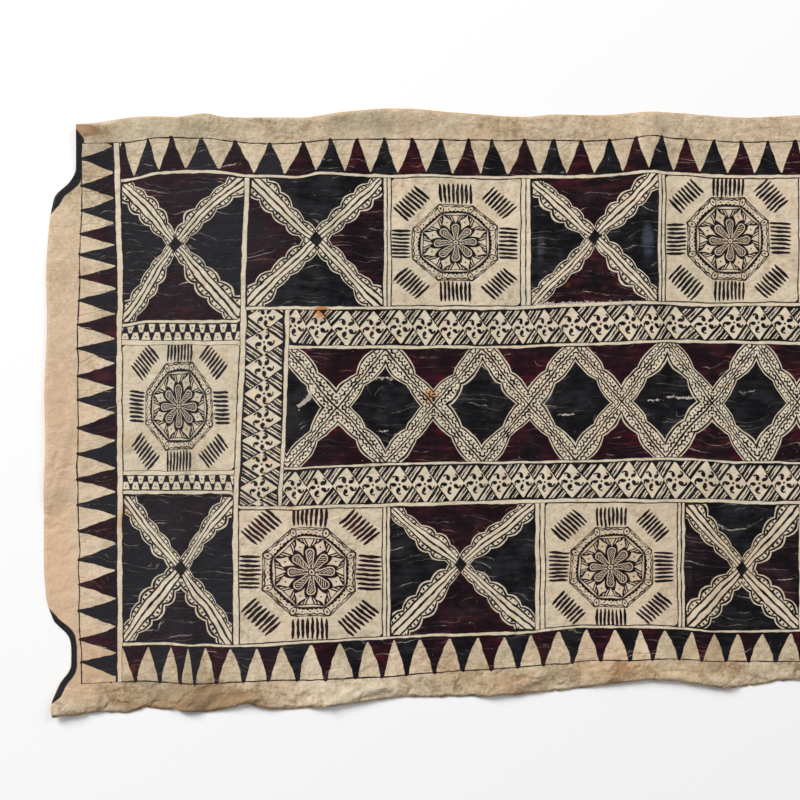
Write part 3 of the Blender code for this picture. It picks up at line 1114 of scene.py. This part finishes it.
    # Pale hairlines along the creases of the dye, shown where it is a painted field: partly dye flaked
    # off, partly painted glints on its crinkles.
    warp = noise(tree, stretched(tree, where, 9.0, 17.0), 1.0, 2.0, 0.5)[0]
    long_gate = noise(tree, stretched(tree, where, 10.0, 62.0), 1.0, 1.0, 0.5)[0]
    short_gate = noise(tree, stretched(tree, where, 15.0, 90.0), 1.0, 1.0, 0.5)[0]
    long_creases = abs((across * 68.0 + warp * 5.5 + slow * 1.6).math("FRACT") - 0.5)
    short_creases = abs((across * 130.0 + warp * 9.0 + slow * 3.2).math("FRACT") - 0.5)
    hair = inside(long_creases, 0.021, 0.018) * ramp(long_gate, 0.54, 0.61)
    fine = inside(short_creases, 0.032, 0.032) * ramp(short_gate, 0.51, 0.61)
    bright = ramp(cloud, 0.46, 0.58, 0.12, 1.0)
    rubbed_off = ramp(rubbed + (specks - 0.5) * 1.8 + (grain - 0.5) * 0.8, 0.50, 0.60)
    worn_and_glints = either(
        hair * bright,
        fine * ramp(cloud, 0.42, 0.60, 0.08, 0.42),
        ramp(grain, 0.70, 0.80) * 0.28,
        ramp(specks, 0.71, 0.77) * 0.6,
    )
    worn_and_glints = either(worn_and_glints * field, rubbed_off)
    colour_of_dye = mix_colour(tree, worn_and_glints, colour_of_dye, BARED_AND_GLINTS)
    colour = mix_colour(tree, dye, bark, colour_of_dye)
    tree.links.new(colour.socket, handed.inputs["Color"])

    gloss = 0.30 + brush * 0.22
    rough = blend(dye, 0.86 + (grain - 0.5) * 0.12, gloss)
    tree.links.new(rough.socket, handed.inputs["Roughness"])

    furrow = inside(long_creases, 0.05, 0.05) * ramp(long_gate, 0.50, 0.60)
    height = slow * 1.4 + blotches * 0.9 + grain * 0.16 + fibres * 0.14
    rumples = pillow + (slow - 0.5) * 2.2 + (blotches - 0.5) * 0.7
    height = height + rumples * wrinkled - furrow * field * 0.35
    bump = tree.nodes.new("ShaderNodeBump")
    bump.inputs["Strength"].default_value = BUMP_STRENGTH
    bump.inputs["Distance"].default_value = BUMP_DISTANCE
    tree.links.new(height.socket, bump.inputs["Height"])
    tree.links.new(bump.outputs["Normal"], handed.inputs["Normal"])
    return tree


def pillows(tree, where, bend, scale, stray):
    """Distance from the nearest wrinkle of a net of wrinkles, as a share of its mesh. A noise bends it."""
    lean = tree.nodes.new("ShaderNodeVectorMath")
    lean.operation = "MULTIPLY_ADD"
    tree.links.new(bend, lean.inputs[0])
    lean.inputs[1].default_value = (stray, stray, 0.0)
    tree.links.new(where.socket, lean.inputs[2])
    net = tree.nodes.new("ShaderNodeTexVoronoi")
    net.feature = "DISTANCE_TO_EDGE"
    tree.links.new(lean.outputs[0], net.inputs["Vector"])
    net.inputs["Scale"].default_value = scale
    return Wire(tree, net.outputs["Distance"])


def bark_finish(name, group, draw):
    """One finish of the cloth: a drawing gives its dye, how maroon it is and how far it is a painted
    field, and the shared group gives the rest."""
    material = bpy.data.materials.new("bark " + name)
    material.use_nodes = True
    tree = material.node_tree
    shader = tree.nodes["Principled BSDF"]
    shader.inputs["Specular IOR Level"].default_value = BARK_SPECULAR
    shader.inputs["Metallic"].default_value = 0.0
    look = tree.nodes.new("ShaderNodeGroup")
    look.node_tree = group
    look.inputs["Cream"].default_value = CREAM.get(name, 0.0)
    for socket, value in zip(("Dye", "Maroon", "Field"), draw(tree)):
        feed(tree, look.inputs[socket], value)
    tree.links.new(look.outputs["Color"], shader.inputs["Base Color"])
    tree.links.new(look.outputs["Roughness"], shader.inputs["Roughness"])
    tree.links.new(look.outputs["Normal"], shader.inputs["Normal"])
    return material


def underside_drawing(tree):
    """No dye, apart from a faint shadow of what has soaked through."""
    where = object_place(tree)
    return ramp(noise(tree, where, 22.0, 3.0)[0], 0.5, 0.8) * 0.10, 0.0, 0.0


def margin_drawing(tree):
    """Bare bark inside its outer edge, the outer half of the frame line with the tips of the teeth just
    past it, and the dark edge of the two hollow stretches at the left end."""
    out, in_from_end, number = reading(tree, "place")
    first = reading(tree, "dyes")[0]
    sway = wobbling(tree, 0.6)
    pen = pen_weight(tree)
    up = split(tree, object_place(tree).socket)[1] * 1000.0 + CLOTH_WIDTH / 2
    frame_line = inside(out + sway[0] * 0.2, 0.8 + pen * 0.4)
    tip = inside(length(folded(number + sway[0] * 0.02, 1.0) * 33.0, out), 2.1 + pen)
    lower_bite = ramp(up, 14, 27) * ramp(up, 140, 118) * (ramp(up, 60, 36) * 0.8 + 8.4)
    upper_bite = ramp(up, 622, 646) * ramp(up, 738, 719) * 11.2
    rim = inside(in_from_end, lower_bite + upper_bite - 0.8 + sway[1] * 0.3, 0.8)
    return either(frame_line, tip, rim), maroon_in_turn(number, first) * (1.0 - rim), 0.0


def maroon_in_turn(number, first):
    """How maroon a tooth is: every second one is, counted from the first."""
    even = (number + 0.5).math("FLOOR").math("MODULO", 2.0).math("ABSOLUTE")
    return (1.0 - abs(even - (1.0 - first))) * 0.95


def teeth_drawing(tree):
    """Teeth that taper to blunt tips with slightly hollow sides, black and maroon in turn."""
    number, rise, _ = reading(tree, "place")
    deep, hollow, blunt = reading(tree, "half")
    first, first_whole, _ = reading(tree, "dyes")
    sway = wobbling(tree, 0.026)
    pen = pen_weight(tree)
    which = number + sway[0] * 1.2
    up = (rise + sway[1] * 0.5).math("MINIMUM", 1.0).math("MAXIMUM", 0.0)
    half_width = (1.0 - up).math("POWER", hollow) * (0.503 - blunt) + blunt + pen * 0.018
    drawn = ramp(number, first_whole - 0.01, first_whole + 0.01)
    tooth = inside(folded(which, 1.0), half_width, 0.012) * drawn
    foot = inside(rise * deep, 2.0)
    frame_line = inside((1.0 - rise) * deep, 0.7 + pen * 0.4)
    maroon = maroon_in_turn(which, first) * ramp(up, 1.0, 0.55, 0.45, 1.0)
    return either(tooth, foot, frame_line), maroon, 1.0


def plain_line_drawing(tree):
    """A bark line with dark outlines at both sides, and a third one along its middle where it has one."""
    _, across, _ = reading(tree, "place")
    half, outlined, middle = reading(tree, "half")
    sway = wobbling(tree, 0.16)[0]
    pen = pen_weight(tree)
    edge = inside(half - abs(across), 0.85 + pen * 0.6) * outlined
    centre = inside(abs(across + sway), 0.80 + pen * 0.5) * middle
    return either(edge, centre), 0.0, 0.1


def arches(along, pitch, sharpness):
    """Row of arches along an arm: 0 at their feet, 1 at their crowns."""
    phase = (along / pitch).math("FRACT")
    return (phase * np.pi).math("SINE").math("MAXIMUM", 0.0).math("POWER", sharpness)


def cross_drawing(tree):
    """Two scalloped arms between opposite corners over dyed fields, with a small diamond at the middle.
    An arm has a line along its middle, one at each side, a scalloped line outside them with dots under its
    arches, and a bark rim. It is narrower at the middle of the cell."""
    x, y, _ = reading(tree, "place")
    half_x, half_y, _ = reading(tree, "half")
    red_ends, red_sides, _ = reading(tree, "dyes")
    sway = wobbling(tree, 1.0)
    pen = pen_weight(tree)
    x, y = x + sway[0], y + sway[1]
    away_x, away_y = abs(x), abs(y)
    diagonal = length(half_x, half_y)
    across = (away_x * half_y - away_y * half_x) / diagonal
    along = (away_x * half_x + away_y * half_y) / diagonal
    broad = noise(tree, object_place(tree), 11.0, 0.0)[0]
    width = ramp(along, 0.0, 45.0, 0.68, 1.06) * ramp(broad, 0.34, 0.66, 0.74, 1.26)
    side = abs(across) / width
    shifted = along + ramp(across, -0.5, 0.5, -4.0, 5.0)
    arch = arches(shifted, 23.5, 0.8)
    scalloped = arch * 3.9 + 7.7
    dots = length(repeat(shifted - 11.0, 6.0), side - scalloped + 2.6 + pen * 1.2)
    field = ramp(side - scalloped, 2.1, 2.9)
    ink = either(
        inside(side, 1.05 + pen * 0.6),
        stroke(side, 5.9, 0.95 + pen * 0.6),
        stroke(side, scalloped, 1.1 + pen * 0.8),
        inside(dots, 1.3 + pen * 0.8) * ramp(arch, 0.2, 0.4),
    )
    diamond = inside(away_x / 8.2 + away_y / 10.5, 1.0, 0.06)
    outline = inside((half_x - away_x).math("MINIMUM", half_y - away_y), 1.0)
    from_line = (half_y - away_y).math("MINIMUM", side - scalloped)
    maroon = blend(ramp(across, -1.0, 1.0), red_ends, red_sides) * ramp(from_line, 24.0, 3.0, 0.42, 1.0)
    return either(ink, field, diamond, outline), maroon * without(field, diamond), field


def lattice_drawing(tree):
    """Arms that zigzag between the two long lines and cross halfway, with long scallops and wavy lines.
    The diamonds between them are black and the fields above and below are maroon."""
    number, y, _ = reading(tree, "place")
    pitch, height, _ = reading(tree, "half")
    sway = wobbling(tree, 1.0)
    pen = pen_weight(tree)
    half_x, half_y = pitch * 0.5, height * 0.5
    x = folded(number + sway[0] * 0.0085, 1.0) * pitch
    away_y = abs(y + sway[1])
    diagonal = length(half_x, half_y)
    across = (x * half_y + away_y * half_x - half_x * half_y) / diagonal
    along = ((half_x - x) * half_x + away_y * half_y) / diagonal
    broad = noise(tree, object_place(tree), 14.0, 1.0)[0]
    side = abs(across) / ramp(broad, 0.34, 0.66, 0.88, 1.22)
    shifted = along + ramp(across, -0.5, 0.5, 3.0, -1.0)
    arch = arches(shifted, 45.0, 0.75)
    scalloped = arch * 4.5 + 6.2
    wavy = 3.6 + (along * 0.95).math("SINE") * 0.8
    field = ramp(side - scalloped, 1.9, 2.7)
    dots = length(repeat(shifted, 5.0), side - 6.9)
    ink = either(
        inside(side, 1.0 + pen * 0.5),
        stroke(side, wavy, 1.0 + pen * 0.8),
        stroke(side, scalloped, 1.0 + pen * 0.7),
        inside(dots, 1.2 + pen * 0.5) * ramp(arch, 0.45, 0.6),
    )
    outline = inside(half_y - away_y, 0.9)
    maroon = ramp(across, -1.0, 1.0) * ramp(side - scalloped, 30.0, 3.0, 0.6, 1.0)
    return either(ink, field, outline), maroon * field, field


def rosette_drawing(tree):
    """Eight groups of short bars round an octagon. In the octagon, from outside in: a thin line, a wavy
    line, dots, a thick scalloped ring, hatched triangles and four-pointed stars on black, and eight
    hatched petals. Everything is folded about eight axes, and the eyes and stars lie between them."""
    x, y, edge = reading(tree, "place")
    red = reading(tree, "dyes")[0]
    sway = wobbling(tree, 1.0)
    pen = pen_weight(tree)
    x, y = x + sway[0], y + sway[1]
    eighth = np.pi / 8
    radius = length(x, y)
    turn = y.math("ARCTAN2", x)
    fold = turn.math("PINGPONG", eighth)
    out, aside = radius * fold.math("COSINE"), radius * fold.math("SINE")
    slant = eighth - fold
    corner_out, corner_aside = radius * slant.math("COSINE"), radius * slant.math("SINE")
    diagonal = ramp(turn.math("PINGPONG", eighth * 2), eighth - 0.01, eighth + 0.01)

    bar_middle = 66.0 + diagonal * 10.0
    bar_end = (abs(out - bar_middle + pen * 1.6) / (12.3 + pen * 1.2)).math("POWER", 3.2)
    bar_side = abs(repeat(aside - 2.6, 5.2)) / (1.72 + pen * 0.7)
    bar = inside(bar_side * bar_side + bar_end, 1.06, 0.25) * inside(aside, 20.8)

    bulge = 1.0 - (aside / 16.5) * (aside / 16.5)
    scallops = abs((aside * 0.62).math("SINE")) * 1.3
    ring = ramp(out, 40.5, 41.1) * inside(out - bulge * 1.9 - scallops, 41.6)
    sliver = stroke(out, 39.7, bulge * 1.15)
    rim = either(
        stroke(out, 51.6, 0.65 + pen * 0.5),
        stroke(out, 49.4 + (aside * 0.8 + 1.0).math("SINE") * 0.5, 0.75 + pen * 0.7),
        inside(length(folded(aside, 9.0), out - 46.2), 0.9),
        ring,
    )
    ground = without(inside(out, 41.0), sliver)
    within = (out - 26.2) * 1.22
    triangle = inside(aside - within, -1.6) * inside(out, 37.5)
    hatch = stroke(folded(aside * 1.25 - within * 0.5, 3.9), 0.0, 1.1)
    hatch = hatch * ramp(aside - within * 0.22, -0.3, 0.3)
    star_shape = (abs(corner_out - 30.5) / 11.8).math("POWER", 0.68)
    star_shape = star_shape + (corner_aside / 8.4).math("POWER", 0.68)
    star = without(inside(star_shape, 1.0, 0.06), inside(aside - within, 0.5))
    star_dot = inside(length(corner_out - 30.5, corner_aside), 1.0)
    petal_edge = length((out - 20.4).math("MAXIMUM", 0.0), aside) - out * 0.188 - 1.1
    petal = inside(petal_edge, 0.0)
    petal_line = stroke(petal_edge, -1.6, 0.5)
    leaning = radius * turn.math("WRAP", eighth, -eighth).math("SINE")
    petal_hatch = stroke(folded(out + leaning * 1.3, 3.5), 0.0, 1.05 + pen * 0.3)
    petal_hatch = inside(petal_edge, -1.6) * petal_hatch
    middle = inside(radius, 4.4)
    middle_ink = either(ramp(radius, 2.6, 3.3), inside(radius, 1.3))
    bare = either(triangle * (1.0 - hatch), star * (1.0 - star_dot))
    bare = without(bare, inside(petal_edge, 1.6))
    bare = either(bare, petal * (1.0 - either(petal_line, petal_hatch)))
    inner = without(ground, bare) * (1.0 - middle) + middle * middle_ink
    eye_shape = length((corner_out - 50.0) / 5.9, corner_aside / 3.9)
    eye = inside(eye_shape, 1.0, 0.08)
    eye_ink = either(ramp(eye_shape, 0.64, 0.76), inside(eye_shape, 0.28, 0.08))
    pattern = either(bar, rim, inner)
    pattern = blend(eye, pattern, eye_ink)
    outline = inside(edge, 0.7)
    return either(pattern, outline), red * ramp(pen, -0.6, 0.5, 0.75, 1.0), 0.1


def pinwheel_drawing(tree):
    """A row of bark lozenges, each with five commas that turn about a dot, and slanted stripes in the
    triangles between them."""
    number, up, _ = reading(tree, "place")
    pitch, height, _ = reading(tree, "half")
    sway = wobbling(tree, 0.75)
    pen = pen_weight(tree)
    half_x, half_y = pitch * 0.5, height * 0.5
    number = number + sway[0] * 0.03
    x = repeat(number, 1.0) * pitch
    y = up * half_y + sway[1]
    lozenge = abs(x) / half_x + abs(y) / half_y
    unit = half_x * half_y / length(half_x, half_y)
    rising = number * 2.0 - y / half_y
    falling = number * 2.0 + y / half_y
    top = ramp(y, -0.3, 0.3)
    from_edge = blend(top, (rising - 1.0) * 0.5, (-1.0 - rising) * 0.5).math("FRACT") * 2.0 * unit
    from_back = blend(top, (-1.0 - falling) * 0.5, (falling - 1.0) * 0.5).math("FRACT") * 2.0 * unit
    wave = ((abs(y) + abs(x)) * 1.3).math("SINE") * 0.35
    stripes = either(
        inside(from_edge, 3.6 + pen * 0.6),
        stroke(from_edge + wave, 6.5, 0.9 + pen * 0.5),
        stroke(from_edge, 10.6, 1.95 + pen * 0.7),
        stroke(from_edge + wave, 14.5, 0.8 + pen * 0.4),
        ramp(from_edge, 16.6, 17.4),
        inside(from_back, 1.7 + pen * 0.4),
    )
    between = ramp(lozenge, 0.995, 1.03)
    radius = length(x, y)
    fifth = np.pi * 2 / 5
    turn = (y.math("ARCTAN2", x) + 0.5 + pen * 0.12).math("WRAP", fifth / 2, -fifth / 2)
    arm, aside = radius * turn.math("COSINE"), radius * turn.math("SINE")
    curl_x, curl_y = arm - 9.3, aside - 1.6
    thick = 1.6 - curl_x * 0.22 + pen * 0.5
    tail = inside(abs(length(curl_x, curl_y) - 2.9) - thick, 0.0) * inside(curl_y - curl_x * 0.55, 0.9)
    head = inside(length((arm - 6.9) / 1.35, aside + 0.1), 2.35 + pen * 0.5)
    comma = either(head, tail)
    dot = inside(radius, 1.45)
    outline = inside(half_y - abs(y), 0.9)
    tint = ramp(noise(tree, object_place(tree), 42.0, 1.0)[0], 0.52, 0.62) * 0.8
    ink = either(between * stripes, (1.0 - between) * either(comma, dot), outline)
    return ink, tint * (1.0 - between), 0.2


def steps_drawing(tree):
    """A black strip with blunt bark steps that hang and stand in turn, each with a dot."""
    along, up, _ = reading(tree, "place")
    height = reading(tree, "half")[0]
    sway = wobbling(tree, 0.7)
    along = along + sway[0]
    y = up * height * 0.5 + sway[1] * 0.4
    low_x, high_x = repeat(along, 12.8), repeat(along + 6.4, 12.8)
    from_foot, from_head = y + height * 0.5, height * 0.5 - y
    stand = inside(abs(low_x) + from_foot * 0.26, 5.3) * inside(from_foot, 10.4)
    hang = inside(abs(high_x) + from_head * 0.22, 4.3) * inside(from_head, 10.6)
    low_dot = inside(length(low_x, from_foot - 4.8), 0.95)
    high_dot = inside(length(high_x, from_head - 5.4), 0.95)
    outline = inside(from_foot.math("MINIMUM", from_head), 0.9)
    return either(1.0 - either(stand, hang), low_dot, high_dot, outline), 0.0, 0.4


DRAWINGS = {
    "margin": margin_drawing,
    "teeth": teeth_drawing,
    "plain line": plain_line_drawing,
    "cross": cross_drawing,
    "rosette": rosette_drawing,
    "pinwheels": pinwheel_drawing,
    "lattice": lattice_drawing,
    "steps": steps_drawing,
    "underside": underside_drawing,
}


def make_cloth():
    """The painted sheet, in place of the plain CAD solid."""
    grid = ClothGrid()
    drawing = FaceDrawing(grid)
    draw_margin(drawing)
    draw_teeth(drawing)
    draw_lines(drawing)
    draw_cells(drawing)
    draw_middle(drawing)
    mesh = cloth_mesh(grid, drawing)
    group = bark_group()
    for name in FINISHES:
        mesh.materials.append(bark_finish(name, group, DRAWINGS[name]))
    cloth = bpy.data.objects.new("painted_cloth", mesh)
    bpy.context.scene.collection.objects.link(cloth)
    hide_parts("bark_cloth")
    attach(cloth, "root")


def make_floor():
    """A plain pale surface under the cloth."""
    material = bpy.data.materials.new("floor")
    material.use_nodes = True
    shader = material.node_tree.nodes["Principled BSDF"]
    shader.inputs["Base Color"].default_value = FLOOR_COLOUR
    shader.inputs["Roughness"].default_value = 0.9
    shader.inputs["Specular IOR Level"].default_value = 0.1
    mesh = bpy.data.meshes.new("floor")
    reach = 6.0
    below = -0.0002
    corners = ((-reach, -reach), (reach, -reach), (reach, reach), (-reach, reach))
    mesh.from_pydata([(x, y, below) for x, y in corners], [], [(0, 1, 2, 3)])
    mesh.materials.append(material)
    floor = bpy.data.objects.new("floor", mesh)
    bpy.context.scene.collection.objects.link(floor)


def make_lights():
    """A wide soft light from the upper left, a weaker one from the upper right, and an even dim sky."""
    for name, place, size, power in (
        ("window light", (-6.5, 5.75, 4.4), 4.2, 1170.0),
        ("fill light", (6.2, 4.5, 5.0), 5.5, 250.0),
    ):
        lamp = bpy.data.lights.new(name, "AREA")
        lamp.size = size
        lamp.energy = power
        light = bpy.data.objects.new(name, lamp)
        light.location = place
        aim = -np.array(place)
        level = np.hypot(aim[0], aim[1])
        light.rotation_euler = (np.arctan2(level, -aim[2]), 0.0, np.arctan2(aim[0], -aim[1]) + np.pi)
        bpy.context.scene.collection.objects.link(light)
    world = bpy.data.worlds.new("even sky")
    world.use_nodes = True
    sky = world.node_tree.nodes["Background"]
    sky.inputs["Color"].default_value = (1.0, 1.0, 1.0, 1.0)
    sky.inputs["Strength"].default_value = SKY_STRENGTH
    bpy.context.scene.world = world
    bpy.context.scene.view_settings.view_transform = "Standard"


def make_camera():
    """Straight above, with the cloth's left end in view and its right end out of the frame."""
    view_width = 1.0
    distance = 2.6
    lens = bpy.data.cameras.new("camera")
    lens.sensor_width = 36.0
    lens.lens = 36.0 * distance / view_width
    camera = bpy.data.objects.new("camera", lens)
    camera.location = (-0.255, 0.016, distance + 0.001)
    bpy.context.scene.collection.objects.link(camera)
    bpy.context.scene.camera = camera


make_camera()
make_floor()
make_lights()
make_cloth()
